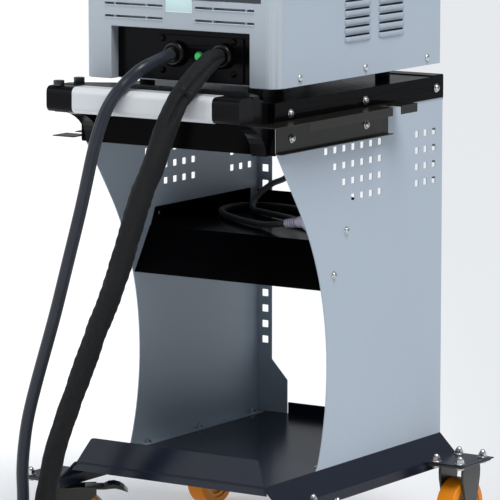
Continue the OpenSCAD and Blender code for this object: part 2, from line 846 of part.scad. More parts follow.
module earth_coil() {
    color([0.23, 0.25, 0.29]) cart() translate([earth_centre[0], earth_centre[1], floor_z])
        coil_ring(earth_ring, earth_d * 2, earth_d);
}

// Copper lug on the earth cable's end: a crimped barrel that flattens into a drilled palm.
module earth_lug() {
    color([0.72, 0.45, 0.2]) cart() around(earth_centre, lug_turn)
        translate([lug_end[0], lug_end[1], floor_z]) {
        rod_x(0, 28, 0, 10, 9.6);
        difference() {
            block([24, -12, 0.4], [68, 12, 4.4]);
            rod_z(-1, 6, 52, 0, 5.25);
        }
    }
}

module gun_cable() {
    color([0.13, 0.14, 0.15]) cart() {
        tube(gun_route, gun_d, 12);
        around(gun_centre, gun_turn) tube(gun_tail, gun_d, 12);
    }
}

module gun_coil() {
    color([0.13, 0.14, 0.15]) cart() translate([gun_centre[0], gun_centre[1], floor_z])
        coil_ring(gun_ring, gun_d, gun_d);
}

// Spot gun on its side inside the gun cable's coil, drawn with its barrel along X and grip along -Y.
module gun_place() {
    cart() around(gun_centre, gun_turn) translate([gun_centre[0] - 80, gun_centre[1] + 33, floor_z])
        rotate([0, 0, 90]) mirror([1, 0, 0]) children();
}

module gun_body() {
    color([0.12, 0.13, 0.15]) gun_place() difference() {
        union() {
            translate([-70, 0, 20]) rotate([0, 90, 0]) cylinder(h = 140, r = 20);
            block([-70, -90, 3], [-34, -10, 37]);
            block([-34, -18, 8], [10, -6, 32]);
        }
        block([-46, -52.3, 11.7], [-33, -23.7, 28.3]);
    }
    color([0.8, 0.6, 0.25]) gun_place() translate([70, 0, 20]) rotate([0, 90, 0]) {
        cylinder(h = 20, r = 14);
        cylinder(h = 30, r = 9);
        cylinder(h = 44, r = 5);
    }
}

module gun_trigger() {
    color([0.7, 0.1, 0.1]) gun_place() block([-40, -52, 12], [-26, -24, 28]);
}

module mains_lead() {
    color([0.08, 0.08, 0.09]) cart() {
        tube(mains_route, mains_d, 8);
        tube(plug_route, mains_d, 8);
    }
}

module mains_coil_and_plug() {
    color([0.08, 0.08, 0.09]) cart() translate([mains_centre[0], mains_centre[1], shelf_top])
        coil_ring(mains_ring, 3 * mains_d, 2 * mains_d);
    color([0.8, 0.76, 0.85]) cart() translate([76, -274, shelf_z + 19]) {
        rod_x(0, 14, 0, 0, 11);
        rod_x(14, 38, 0, 0, 18.8);
        for (y = [-9.5, 9.5]) rod_x(38, 57, y, 0, 2.4);
    }
}

base_tray();
side_panel_left();
side_panel_right();
mid_shelf();
top_rail_left();
top_rail_right();
cross_plates();
hook_bracket_left();
hook_bracket_right();
handle_bar();
handle_grip();
handle_arms();
hook_pegs();
frame_screws();
tray_bolts();
caster_bolts();
rear_forks();
rear_axles();
rear_wheel_hub_left();
rear_wheel_hub_right();
rear_tyre_left();
rear_tyre_right();
swivel_plates();
front_fork_left();
front_fork_right();
front_wheel_hub_left();
front_wheel_hub_right();
front_tyre_left();
front_tyre_right();
brake_pedal_left();
brake_pedal_right();
machine_feet();
machine_base();
machine_cover();
front_bezel();
control_panel();
well_plate();
connector_plate();
cable_glands();
power_led();
rear_panel();
fan_frame();
fan_rotor();
mains_switch();
current_knob();
time_knob();
mode_button();
start_button();
transformer_core();
transformer_coils();
control_board();
earth_cable();
earth_coil();
earth_lug();
gun_cable();
gun_coil();
gun_body();
gun_trigger();
mains_lead();
mains_coil_and_plug();
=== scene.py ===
"""Looks for a welding power unit on a service trolley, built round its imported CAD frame."""

import json
import math

import bmesh
import bpy
from mathutils import Matrix, Vector, noise


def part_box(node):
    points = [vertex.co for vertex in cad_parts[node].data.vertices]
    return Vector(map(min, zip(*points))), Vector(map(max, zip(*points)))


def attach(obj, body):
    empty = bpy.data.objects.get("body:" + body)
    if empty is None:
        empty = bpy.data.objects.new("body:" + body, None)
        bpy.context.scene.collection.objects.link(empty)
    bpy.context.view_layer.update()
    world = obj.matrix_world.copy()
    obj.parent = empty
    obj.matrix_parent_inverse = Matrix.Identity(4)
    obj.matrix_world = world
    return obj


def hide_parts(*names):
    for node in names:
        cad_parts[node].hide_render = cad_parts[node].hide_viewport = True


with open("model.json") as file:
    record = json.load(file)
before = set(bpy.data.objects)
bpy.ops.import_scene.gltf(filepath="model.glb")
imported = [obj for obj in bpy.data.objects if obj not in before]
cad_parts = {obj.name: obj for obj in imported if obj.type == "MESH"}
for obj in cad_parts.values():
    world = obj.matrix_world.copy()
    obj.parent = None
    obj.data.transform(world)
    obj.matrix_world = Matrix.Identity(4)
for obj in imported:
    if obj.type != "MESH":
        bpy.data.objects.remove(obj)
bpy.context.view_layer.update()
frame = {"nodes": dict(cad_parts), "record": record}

# ---------------------------------------------------------------- frame
# Sizes are in the trolley's own millimetres: Y starts at the panels' rear edge, Z on the tray.
MM = 0.001
PANEL_LOW, PANEL_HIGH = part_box("side_panel_right")
REAR_Y = PANEL_HIGH.y
TRAY_Z = PANEL_LOW.z
HALF = PANEL_HIGH.x / MM
DECK = (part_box("machine_cover")[0].z - TRAY_Z) / MM
FACE_Y = (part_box("front_bezel")[0].y - REAR_Y) / MM
PLATE_Y = (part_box("connector_plate")[0].y - REAR_Y) / MM


def at(x, y, z):
    """A point of the trolley's frame, in the row frame and in metres."""
    return Vector((x * MM, REAR_Y + y * MM, TRAY_Z + z * MM))


# ---------------------------------------------------------------- camera
LENS, SENSOR = 282.95, 36
CAMERA_PLACE = (3386.6, -5421.8, 1247)
CAMERA_DOWN, CAMERA_TURN = 8.558, 33.437


def make_camera():
    """A long lens that looks down and to the left at the handle corner of the trolley."""
    cam = bpy.data.objects.new("camera", bpy.data.cameras.new("camera"))
    bpy.context.collection.objects.link(cam)
    cam.data.sensor_width = SENSOR
    cam.data.lens = LENS
    cam.data.clip_end = 60
    cam.location = at(*CAMERA_PLACE)
    cam.rotation_euler = (math.radians(90 - CAMERA_DOWN), 0, math.radians(CAMERA_TURN))
    bpy.context.scene.camera = cam


# ---------------------------------------------------------------- materials
def shader(name, colour, rough, metal=0.0):
    """A new material and its Principled node, with the uniform values on the shader's own sockets."""
    m = bpy.data.materials.new(name)
    m.use_nodes = True
    p = m.node_tree.nodes["Principled BSDF"]
    p.inputs["Base Color"].default_value = (*colour, 1)
    p.inputs["Roughness"].default_value = rough
    p.inputs["Metallic"].default_value = metal
    return m, p


def add(m, kind, **values):
    """A node of that kind; values go to its inputs by name, or to the node's own settings."""
    n = m.node_tree.nodes.new(kind)
    for key, value in values.items():
        if key in n.inputs:
            n.inputs[key].default_value = value
        else:
            setattr(n, key, value)
    return n


def link(m, a, b):
    m.node_tree.links.new(a, b)


def place_of(m, scale=(1, 1, 1)):
    """Object coordinates, stretched by scale."""
    c = add(m, "ShaderNodeTexCoord")
    n = add(m, "ShaderNodeMapping")
    n.inputs["Scale"].default_value = scale
    link(m, c.outputs["Object"], n.inputs["Vector"])
    return n.outputs["Vector"]


def noise_of(m, vector, scale, detail=3.0, rough=0.55):
    n = add(m, "ShaderNodeTexNoise", Scale=scale, Detail=detail, Roughness=rough)
    link(m, vector, n.inputs["Vector"])
    return n.outputs["Fac"]


def ramp(m, value, stops):
    """A colour ramp over value; each stop is (position, colour)."""
    n = add(m, "ShaderNodeValToRGB")
    n.color_ramp.elements[0].position, n.color_ramp.elements[1].position = stops[0][0], stops[-1][0]
    n.color_ramp.elements[0].color = (*stops[0][1], 1)
    n.color_ramp.elements[1].color = (*stops[-1][1], 1)
    for position, colour in stops[1:-1]:
        n.color_ramp.elements.new(position).color = (*colour, 1)
    link(m, value, n.inputs["Fac"])
    return n.outputs["Color"]


def spread(m, value, low, high):
    """value, from 0 to 1, mapped onto low to high."""
    n = add(m, "ShaderNodeMapRange")
    n.inputs["To Min"].default_value = low
    n.inputs["To Max"].default_value = high
    link(m, value, n.inputs["Value"])
    return n.outputs["Result"]


def bump(m, p, height, distance):
    """Raises the surface by distance, in metres, where height is 1."""
    n = add(m, "ShaderNodeBump", Distance=distance, Strength=1.0)
    link(m, height, n.inputs["Height"])
    link(m, n.outputs["Normal"], p.inputs["Normal"])


def shade(colour, factor):
    return tuple(c * factor for c in colour)


def edge_highlight_mask(m, radius):
    """1 at sharp edges and 0 on flat faces, from the bevelled normal; it marks where a highlight is
    painted.
    """
    b = add(m, "ShaderNodeBevel", samples=4)
    b.inputs["Radius"].default_value = radius
    g = add(m, "ShaderNodeNewGeometry")
    d = add(m, "ShaderNodeVectorMath", operation="DOT_PRODUCT")
    link(m, b.outputs["Normal"], d.inputs[0])
    link(m, g.outputs["Normal"], d.inputs[1])
    r = add(m, "ShaderNodeMapRange")
    r.inputs["From Min"].default_value = 0.99
    r.inputs["From Max"].default_value = 0.80
    link(m, d.outputs["Value"], r.inputs["Value"])
    return r.outputs["Result"]


def paint(name, colour, rough, peel=0.00002, coat=0.0, tint=0.05, edge=0.0, specular=0.5):
    """Sprayed or powder-coated metal: orange peel, faint clouding, uneven gloss and a painted highlight on
    sharp edges, as strong as edge.
    """
    m, p = shader(name, colour, rough)
    p.inputs["Specular IOR Level"].default_value = specular
    where = place_of(m)
    cloud = noise_of(m, where, 3.5, 4)
    tone = ramp(m, cloud, [(0.3, shade(colour, 1 - tint)), (0.7, shade(colour, 1 + tint))])
    # Painted highlight: sharp edges are painted paler by edge.
    if edge:
        mix = add(m, "ShaderNodeMix", data_type="RGBA")
        mix.inputs["B"].default_value = (*[min(1, c + edge) for c in colour], 1)
        link(m, edge_highlight_mask(m, 0.0012), mix.inputs["Factor"])
        link(m, tone, mix.inputs["A"])
        tone = mix.outputs["Result"]
    link(m, tone, p.inputs["Base Color"])
    smear = noise_of(m, place_of(m, (9, 9, 2)), 6, 5, 0.7)
    link(m, spread(m, smear, rough * 0.75, rough * 1.3), p.inputs["Roughness"])
    p.inputs["Coat Weight"].default_value = coat
    p.inputs["Coat Roughness"].default_value = 0.08
    bump(m, p, noise_of(m, where, 1100, 2), peel)
    return m


def plastic(name, colour, rough, grain=0.00004, scale=1500, tint=0.04, specular=0.5):
    """Moulded plastic with a fine spark-eroded grain and faint handling marks."""
    m, p = shader(name, colour, rough)
    p.inputs["Specular IOR Level"].default_value = specular
    where = place_of(m)
    cloud = noise_of(m, where, 14, 4)
    tone = ramp(m, cloud, [(0.3, shade(colour, 1 - tint)), (0.75, shade(colour, 1 + tint))])
    link(m, tone, p.inputs["Base Color"])
    smear = noise_of(m, where, 45, 5, 0.7)
    link(m, spread(m, smear, rough * 0.8, min(1, rough * 1.25)), p.inputs["Roughness"])
    bump(m, p, noise_of(m, where, scale, 2), grain)
    return m


def metal(name, colour, rough, stretch=(1, 1, 1), scratch=0.00002):
    """Plated or brushed metal, with fine scratches along the short axis of stretch."""
    m, p = shader(name, colour, rough, 1.0)
    lines = noise_of(m, place_of(m, stretch), 260, 4, 0.6)
    tone = ramp(m, noise_of(m, place_of(m), 60, 4), [(0.3, shade(colour, 0.82)), (0.7, colour)])
    link(m, tone, p.inputs["Base Color"])
    link(m, spread(m, lines, rough * 0.7, rough * 1.5), p.inputs["Roughness"])
    bump(m, p, lines, scratch)
    return m


def rubber(name, colour, rough, sheen=0.15):
    """Matt rubber with a faint bloom and a fine grain."""
    m, p = shader(name, colour, rough)
    where = place_of(m)
    tone = ramp(m, noise_of(m, where, 30, 5), [(0.3, shade(colour, 0.86)), (0.7, shade(colour, 1.14))])
    link(m, tone, p.inputs["Base Color"])
    link(m, spread(m, noise_of(m, where, 70, 4), rough * 0.85, min(1, rough * 1.15)), p.inputs["Roughness"])
    p.inputs["Specular IOR Level"].default_value = 0.3
    p.inputs["Sheen Weight"].default_value = sheen
    bump(m, p, noise_of(m, where, 900, 3), 0.00003)
    return m


# How far the crossing of two threads stands out against the weft's own ribs.
CROSSING = 0.45


def woven(name, colour, around, along):
    """Braided sleeve: warp and weft threads over the tube's own around and along coordinates, with painted
    shade in the low places between threads.
    """
    m, p = shader(name, colour, 0.62)
    uv = add(m, "ShaderNodeUVMap", uv_map="weave")
    split = add(m, "ShaderNodeSeparateXYZ")
    link(m, uv.outputs["UV"], split.inputs["Vector"])

    def threads(axis, count):
        phase = add(m, "ShaderNodeMath", operation="MULTIPLY")
        phase.inputs[1].default_value = count * 2 * math.pi
        link(m, split.outputs[axis], phase.inputs[0])
        wave = add(m, "ShaderNodeMath", operation="SINE")
        link(m, phase.outputs["Value"], wave.inputs[0])
        return wave.outputs["Value"]

    weave = add(m, "ShaderNodeMath", operation="MULTIPLY")
    link(m, threads("X", around), weave.inputs[0])
    link(m, threads("Y", along), weave.inputs[1])
    ribs = add(m, "ShaderNodeMath", operation="MULTIPLY_ADD")
    ribs.inputs[1].default_value = CROSSING
    link(m, weave.outputs["Value"], ribs.inputs[0])
    link(m, threads("Y", along), ribs.inputs[2])
    height = add(m, "ShaderNodeMapRange")
    height.inputs["From Min"].default_value = -1 - CROSSING
    height.inputs["From Max"].default_value = 1 + CROSSING
    link(m, ribs.outputs["Value"], height.inputs["Value"])
    fuzz = noise_of(m, place_of(m), 40, 5, 0.65)
    tone = ramp(m, fuzz, [(0.3, shade(colour, 0.7)), (0.72, shade(colour, 1.5))])
    # Painted shade: the colour is darkened where the threads lie low, by multiplying it with their height.
    dark = add(m, "ShaderNodeMix", data_type="RGBA", blend_type="MULTIPLY")
    dark.inputs["Factor"].default_value = 0.5
    link(m, tone, dark.inputs["A"])
    link(m, height.outputs["Result"], dark.inputs["B"])
    link(m, dark.outputs["Result"], p.inputs["Base Color"])
    p.inputs["Sheen Weight"].default_value = 0.03
    p.inputs["Sheen Roughness"].default_value = 0.4
    p.inputs["Specular IOR Level"].default_value = 0.25
    bump(m, p, height.outputs["Result"], 0.0009)
    return m


def glowing(name, colour, power):
    """Tinted plastic lit from behind."""
    m, p = shader(name, colour, 0.25)
    p.inputs["Emission Color"].default_value = (*colour, 1)
    p.inputs["Emission Strength"].default_value = power
    bump(m, p, noise_of(m, place_of(m), 800, 2), 0.00002)
    return m


# edge in these finishes is the strength of the painted highlight on sharp edges.
LACQUER = {"peel": 0.00001, "tint": 0.08}
STEEL_PAINT = {"rough": 0.3, "peel": 0.00002, "coat": 0.1, "tint": 0.15, "edge": 0.06}
FINISHES = {
    "panel_paint": (paint, (0.405, 0.475, 0.555), {"rough": 0.42, "peel": 0.00003, "tint": 0.02}),
    "black_paint": (paint, (0.0015, 0.0015, 0.002),
                    {**LACQUER, "rough": 0.14, "tint": 0.1, "edge": 0.015, "specular": 0.035}),
    "bracket_paint": (paint, (0.012, 0.011, 0.009),
                      {**LACQUER, "rough": 0.22, "tint": 0.1, "edge": 0.02, "specular": 0.2}),
    "tray_paint": (paint, (0.008, 0.011, 0.022), {**LACQUER, "rough": 0.2, "edge": 0.02, "specular": 0.2}),
    "black_plastic": (plastic, (0.004, 0.004, 0.005), {"rough": 0.2, "grain": 0.00001, "specular": 0.08}),
    "grip_plastic": (plastic, (0.62, 0.645, 0.67), {"rough": 0.16, "grain": 0.000005, "tint": 0.02}),
    "knob_plastic": (plastic, (0.015, 0.015, 0.017), {"rough": 0.3}),
    "zinc_steel": (metal, (0.72, 0.73, 0.74), {"rough": 0.24}),
    "fork_steel": (paint, (0.035, 0.034, 0.03), STEEL_PAINT),
    "hub_plastic": (plastic, (0.82, 0.36, 0.04), {"rough": 0.35}),
    "tyre_orange": (plastic, (0.78, 0.245, 0.006),
                    {"rough": 0.3, "grain": 0.00003, "scale": 700, "specular": 0.25}),
    "pedal_steel": (paint, (0.02, 0.02, 0.02), STEEL_PAINT),
    "foot_rubber": (rubber, (0.015, 0.015, 0.015), {"rough": 0.6}),
    "bezel_plastic": (plastic, (0.44, 0.495, 0.55),
                      {"rough": 0.45, "grain": 0.00008, "scale": 1300, "tint": 0.02}),
    "display_film": (plastic, (0.02, 0.026, 0.036), {"rough": 0.16, "grain": 0.000005}),
    "gland_rubber": (rubber, (0.006, 0.006, 0.007), {"rough": 0.25, "sheen": 0}),
    "led_green": (glowing, (0.05, 0.55, 0.13), {"power": 0.35}),
    "fan_plastic": (plastic, (0.02, 0.02, 0.022), {"rough": 0.5}),
    "switch_red": (plastic, (0.55, 0.02, 0.015), {"rough": 0.25}),
    "button_grey": (plastic, (0.55, 0.56, 0.58), {"rough": 0.35}),
    "button_green": (plastic, (0.02, 0.3, 0.08), {"rough": 0.3}),
    "core_steel": (metal, (0.25, 0.25, 0.27), {"rough": 0.5, "stretch": (1, 1, 12), "scratch": 0.0001}),
    "copper": (metal, (0.85, 0.45, 0.25), {"rough": 0.3}),
    "board_green": (plastic, (0.02, 0.14, 0.05), {"rough": 0.4}),
    "cable_rubber": (rubber, (0.017, 0.021, 0.031), {"rough": 0.34, "sheen": 0.1}),
    "cable_sleeve": (woven, (0.0035, 0.004, 0.005), {"around": 48, "along": 1}),
    "gun_plastic": (plastic, (0.02, 0.022, 0.026), {"rough": 0.45, "grain": 0.0001, "scale": 900}),
    "mains_rubber": (rubber, (0.012, 0.012, 0.014), {"rough": 0.4}),
    "plug_plastic": (plastic, (0.62, 0.58, 0.72), {"rough": 0.4}),
    "label_film": (plastic, (0.62, 0.82, 0.845), {"rough": 0.35, "grain": 0.000005, "tint": 0.015}),
    "label_rim": (plastic, (0.78, 0.90, 0.90), {"rough": 0.3, "grain": 0.000005, "tint": 0.015}),
    "nickel": (metal, (0.70, 0.69, 0.66), {"rough": 0.22}),
}
MATERIALS = {name: make(name, colour, **values) for name, (make, colour, values) in FINISHES.items()}


# ---------------------------------------------------------------- mesh helpers
def piece(name, material, verts=(), faces=(), body="root", slot=None, replaces=(), smooth=True):
    """A mesh object that rides on a body and takes its finish from material; slot is not used."""
    mesh = bpy.data.meshes.new(name)
    mesh.from_pydata([tuple(v) for v in verts], [], [tuple(f) for f in faces])
    for polygon in mesh.polygons:
        polygon.use_smooth = smooth
    mesh.materials.append(MATERIALS[material])
    o = bpy.data.objects.new(name, mesh)
    bpy.context.collection.objects.link(o)
    if replaces:
        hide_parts(*replaces)
    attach(o, body)
    return o


def sharpen(o, degrees=35):
    """Smooth shading that keeps creases sharper than the angle."""
    o.data.set_sharp_from_angle(angle=math.radians(degrees))


class Build:
    """Collects vertices and faces of several solids for one piece."""

    def __init__(self):
        self.verts = []
        self.faces = []

    def add(self, verts, faces):
        start = len(self.verts)
        self.verts += verts
        self.faces += [[start + i for i in face] for face in faces]

    def lathe(self, profile, place, steps=24):
        """Turns (radius, height) points about Z and moves them by the matrix place, with closed ends."""
        verts, faces, rows = [], [], []
        for r, h in profile:
            if r < 1e-6:
                rows.append([len(verts)])
                verts.append(place @ Vector((0, 0, h)))
            else:
                rows.append(list(range(len(verts), len(verts) + steps)))
                angles = [2 * math.pi * k / steps for k in range(steps)]
                verts += [place @ Vector((r * math.cos(a), r * math.sin(a), h)) for a in angles]
        for low, high in zip(rows, rows[1:]):
            for k in range(steps):
                n = (k + 1) % steps
                if len(low) == 1 and len(high) > 1:
                    faces.append([low[0], high[n], high[k]])
                elif len(high) == 1 and len(low) > 1:
                    faces.append([low[k], low[n], high[0]])
                elif len(low) > 1:
                    faces.append([low[k], low[n], high[n], high[k]])
        if len(rows[0]) > 1 and profile[0] != profile[-1]:
            faces.append(rows[0][::-1])
        if len(rows[-1]) > 1 and profile[0] != profile[-1]:
            faces.append(rows[-1])
        self.add(verts, faces)

    def block(self, low, high, round_by=0.0, place=None):
        """A box between two corners with its edges rounded."""
        b = bmesh.new()
        bmesh.ops.create_cube(b, size=1)
        size, mid = Vector(high) - Vector(low), (Vector(high) + Vector(low)) / 2
        for v in b.verts:
            v.co = Vector([v.co[i] * size[i] for i in range(3)]) + mid
        if round_by:
            bmesh.ops.bevel(b, geom=b.edges[:], offset=round_by, segments=2, affect="EDGES", profile=0.5)
        b.verts.index_update()
        self.add([place @ v.co if place else v.co.copy() for v in b.verts],
                 [[v.index for v in f.verts] for f in b.faces])
        b.free()

    def prism(self, outline, low, high, place):
        """An outline in X and Y raised from low to high."""
        n = len(outline)
        verts = [place @ Vector((x, y, h)) for h in (low, high) for x, y in outline]
        faces = [list(range(n))[::-1], list(range(n, 2 * n))]
        faces += [[k, (k + 1) % n, n + (k + 1) % n, n + k] for k in range(n)]
        self.add(verts, faces)

    def make(self, name, material, **more):
        return piece(name, material, self.verts, self.faces, **more)


def facing(point, direction, up=(0, 0, 1)):
    """A matrix that puts local +Z along direction at point, in metres from local millimetres."""
    z = Vector(direction).normalized()
    x = Vector(up).cross(z)
    x = x.normalized() if x.length > 1e-6 else Vector((1, 0, 0))
    y = z.cross(x)
    turn = Matrix((x, y, z)).transposed().to_4x4()
    return Matrix.Translation(point) @ turn @ Matrix.Scale(MM, 4)


def catmull(points, step):
    """A smooth line through points, with new points about step apart."""
    p = [points[0] * 2 - points[1], *points, points[-1] * 2 - points[-2]]
    out = []
    for a, b, c, d in zip(p, p[1:], p[2:], p[3:]):
        n = max(1, round((c - b).length / step))
        for k in range(n):
            t = k / n
            out.append(0.5 * (2 * b + (c - a) * t + (2 * a - 5 * b + 4 * c - d) * t ** 2
                              + (3 * b - a - 3 * c + d) * t ** 3))
    return out + [points[-1]]


def line_length(line):
    return sum((b - a).length for a, b in zip(line, line[1:]))


def sweep(line, sides, radius):
    """Vertices, faces and weave coordinates of a tube. radius(s, a) gives it at length s and angle a."""
    frames, verts, uvs, s = [], [], [], 0.0
    side = Vector((1, 0, 0))
    for i, point in enumerate(line):
        ahead = (line[min(i + 1, len(line) - 1)] - line[max(i - 1, 0)]).normalized()
        side = (side - ahead * side.dot(ahead)).normalized()
        frames.append((point, side.copy(), ahead.cross(side)))
    for i, (point, u, v) in enumerate(frames):
        s += (point - line[i - 1]).length if i else 0.0
        for k in range(sides):
            a = 2 * math.pi * k / sides
            r = radius(s, a)
            verts.append(point + (u * math.cos(a) + v * math.sin(a)) * r)
            uvs.append((k / sides, s))
    n = len(line)
    faces = []
    for low in range(0, (n - 1) * sides, sides):
        high = low + sides
        faces += [[low + k, low + (k + 1) % sides, high + (k + 1) % sides, high + k] for k in range(sides)]
    faces += [list(range(sides))[::-1], list(range((n - 1) * sides, n * sides))]
    return verts, faces, uvs


# ---------------------------------------------------------------- cords
EARTH_D, GUN_D, MAINS_D = 19.5, 34, 10
# The centre and radius of each coil, and the height at which the two on the floor lie.
EARTH_CENTRE, EARTH_RING, EARTH_LIE = (-309, -785), 117, -150
GUN_CENTRE, GUN_RING, GUN_LIE = (20, -830), 170, -143
MAINS_CENTRE, MAINS_RING = (105, -150), 55
# How far each coil turns in degrees, and how far its tail's route is turned to meet it.
EARTH_COILED, EARTH_TAIL_TURN = -694, -160
GUN_COILED, GUN_TAIL_TURN = 292, 120
MAINS_TURNS = 5
MAINS_LOW, MAINS_HIGH = 356.6, 366.4
EARTH_ROUTE = [
    (-15.5, -492, 648), (-11, -514, 646), (-12, -538, 641), (-15, -568, 633), (-28, -587, 615),
    (-33, -599, 603.5), (-41, -604, 592), (-52, -610, 570), (-60.5, -616, 541), (-70, -620, 504),
    (-89, -624, 422), (-114, -630, 324), (-135, -633, 248), (-166, -636, 149), (-181, -639, 92),
    (-187, -642, 50), (-189, -645, 8), (-186, -648, -32), (-183, -653, -68), (-183, -666, -104),
    (-185, -690, -133), (-184, -725, -149), (-182, -785, EARTH_LIE),
]
EARTH_TAIL = [
    (-397, -795, EARTH_LIE), (-394, -762, EARTH_LIE), (-379, -738, EARTH_LIE), (-356, -724, EARTH_LIE),
    (-330, -721, EARTH_LIE),
]
GUN_ROUTE = [
    (71.5, -492, 649), (76, -518, 646), (82, -550, 636.5), (90, -600.5, 613), (87, -608, 604),
    (82, -613, 594), (75, -622, 570), (67, -630, 542), (56, -635, 504), (41, -638, 469),
    (25, -640, 427), (-13, -642, 317), (-54, -642, 225), (-84, -642, 155), (-107, -642, 100),
    (-128, -643, 43), (-138, -645, 0), (-143, -649, -40), (-147, -660, -95), (-150, -684, -127),
    (-150, -725, GUN_LIE), (-150, -830, GUN_LIE),
]
GUN_TAIL = [
    (156, -850, GUN_LIE), (154, -805, GUN_LIE), (138, -770, GUN_LIE), (108, -748, -142), (70, -742, -141),
    (30, -745, -140),
]
MAINS_ROUTE = [
    (-120, 14, 650), (-120, 34, 649), (-120, 50, 642), (-120, 60, 620), (-120, 62, 590),
    (-120, 60, 520), (-121, 50, 460), (-122, 28, 415), (-124, 2, 396), (-130, -30, 389),
    (-133, -60, 377), (-129, -88, 364), (-112, -112, 357), (-80, -130, 357), (-20, -158, 357),
    (45, -196, 357), (105, -215, 357),
]
PLUG_ROUTE = [
    (105, -85, 367), (50, -84, 364), (-20, -72, 357), (-90, -60, 357), (-135, -63, 357),
    (-160, -92, 357), (-158, -135, 357), (-125, -180, 357), (-60, -226, 357), (0, -255, 358),
    (40, -270, 364), (76, -274, 370),
]
# Points per turn of a coil, sides of the sleeve's mesh, its weft ribs per metre, and its lowest height.
TURN_POINTS = 36
GUN_SIDES = 48
WEFT_RIBS = 450
SLEEVE_FLAT = 0.0002


def turned(route, centre, degrees):
    """The route turned about a vertical axis through centre."""
    c, s = math.cos(math.radians(degrees)), math.sin(math.radians(degrees))
    return [(centre[0] + (x - centre[0]) * c - (y - centre[1]) * s,
             centre[1] + (x - centre[0]) * s + (y - centre[1]) * c, z) for x, y, z in route]


def turns(centre, start, total, radius, height):
    """Points of a coil from angle start through total degrees; radius and height follow the share done."""
    n = max(2, round(abs(total) / 360 * TURN_POINTS))
    out = []
    for k in range(1, n):
        a = math.radians(start + total * k / n)
        r = radius(k / n)
        out.append((centre[0] + r * math.cos(a), centre[1] + r * math.sin(a), height(k / n)))
    return out


def steps(share, levels, ease=0.35):
    """Moves from one level to the next in turn, with an eased change at each one's end."""
    at_level = share * len(levels)
    i = min(int(at_level), len(levels) - 1)
    rest = at_level - i
    if i + 1 < len(levels) and rest > 1 - ease:
        t = (rest - 1 + ease) / ease
        t = t * t * (3 - 2 * t)
        return levels[i] * (1 - t) + levels[i + 1] * t
    return levels[i]


def smooth_line(points, step):
    return catmull([at(*q) for q in points], step)


def cord_curve(name, line, diameter, material, replaces):
    """A cord as one open curve with a round bevel."""
    data = bpy.data.curves.new(name, "CURVE")
    data.dimensions = "3D"
    data.bevel_depth = diameter * MM / 2
    data.bevel_resolution = 5
    data.use_fill_caps = True
    spline = data.splines.new("POLY")
    spline.points.add(len(line) - 1)
    for point, q in zip(spline.points, line):
        point.co = (*q, 1)
    spline.use_smooth = True
    data.materials.append(MATERIALS[material])
    o = bpy.data.objects.new(name, data)
    bpy.context.collection.objects.link(o)
    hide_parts(*replaces)
    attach(o, "root")
    return o


def earth_cord():
    """The earth cable, a coil of two turns side by side, and the shrink tube behind its lug."""
    layers = [EARTH_RING + EARTH_D / 2, EARTH_RING - EARTH_D / 2, EARTH_RING - EARTH_D / 2]
    ring = turns(EARTH_CENTRE, 0, EARTH_COILED, lambda t: steps(t, layers), lambda t: EARTH_LIE)
    line = smooth_line(EARTH_ROUTE + ring + turned(EARTH_TAIL, EARTH_CENTRE, EARTH_TAIL_TURN)[1:], 0.008)
    o = cord_curve("earth_cord", line, EARTH_D, "cable_rubber", ["earth_cable", "earth_coil"])
    collar = Build()
    tail = line[-1] - line[-4]
    collar.lathe([(0, -16), (9.9, -16), (10, -14), (10, 6), (9.8, 8), (0, 8)], facing(line[-1], tail))
    boot = collar.make("lug_heatshrink", "mains_rubber", slot="cable_rubber")
    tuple(line[0])
    round(line_length(line), 3)


def ridge(a, centre, width):
    """1 on the line at angle centre, falling off over width."""
    off = math.atan2(math.sin(a - centre), math.cos(a - centre))
    return math.exp(-(off / width) ** 2)


def band(s, start, end, ease=0.03):
    """1 between start and end, easing to 0 outside."""
    return 1 / (1 + math.exp(-(s - start) / ease * 4)) / (1 + math.exp((s - end) / ease * 4))


def gun_radius(s, a):
    """Radius of the sleeve: slim at the gland, with a folded seam, rumples and cross wrinkles."""
    slim = 1 - 0.20 * math.exp(-s / 0.05)
    spot = Vector((math.cos(a), math.sin(a), s * 24))
    rumple = 0.085 * noise.noise(spot) + 0.05 * noise.noise(spot * 2.3 + Vector((5, 3, 1)))
    bend = math.sin(a * 2 + 7 * s)
    wrinkle = 0.022 * math.sin(2 * math.pi * s / 0.017 + 4 * noise.noise(spot * 0.8)) * (0.5 + 0.5 * bend)
    crease = 0.05 + 4.5 * s
    flap = 0.26 * ridge(a, crease - 0.55, 0.3) * band(s, 0.012, 0.18)
    flap += 0.10 * ridge(a, -0.75 + 0.4 * math.sin(6 * s), 0.14) * band(s, 0.55, 0.95)
    groove = -0.22 * ridge(a, crease, 0.15) * band(s, 0.004, 0.19)
    flat = 0.035 * math.sin(2 * a + 9 * s)
    return GUN_D / 2 * MM * slim * (0.985 + rumple + wrinkle + flap + groove + flat)


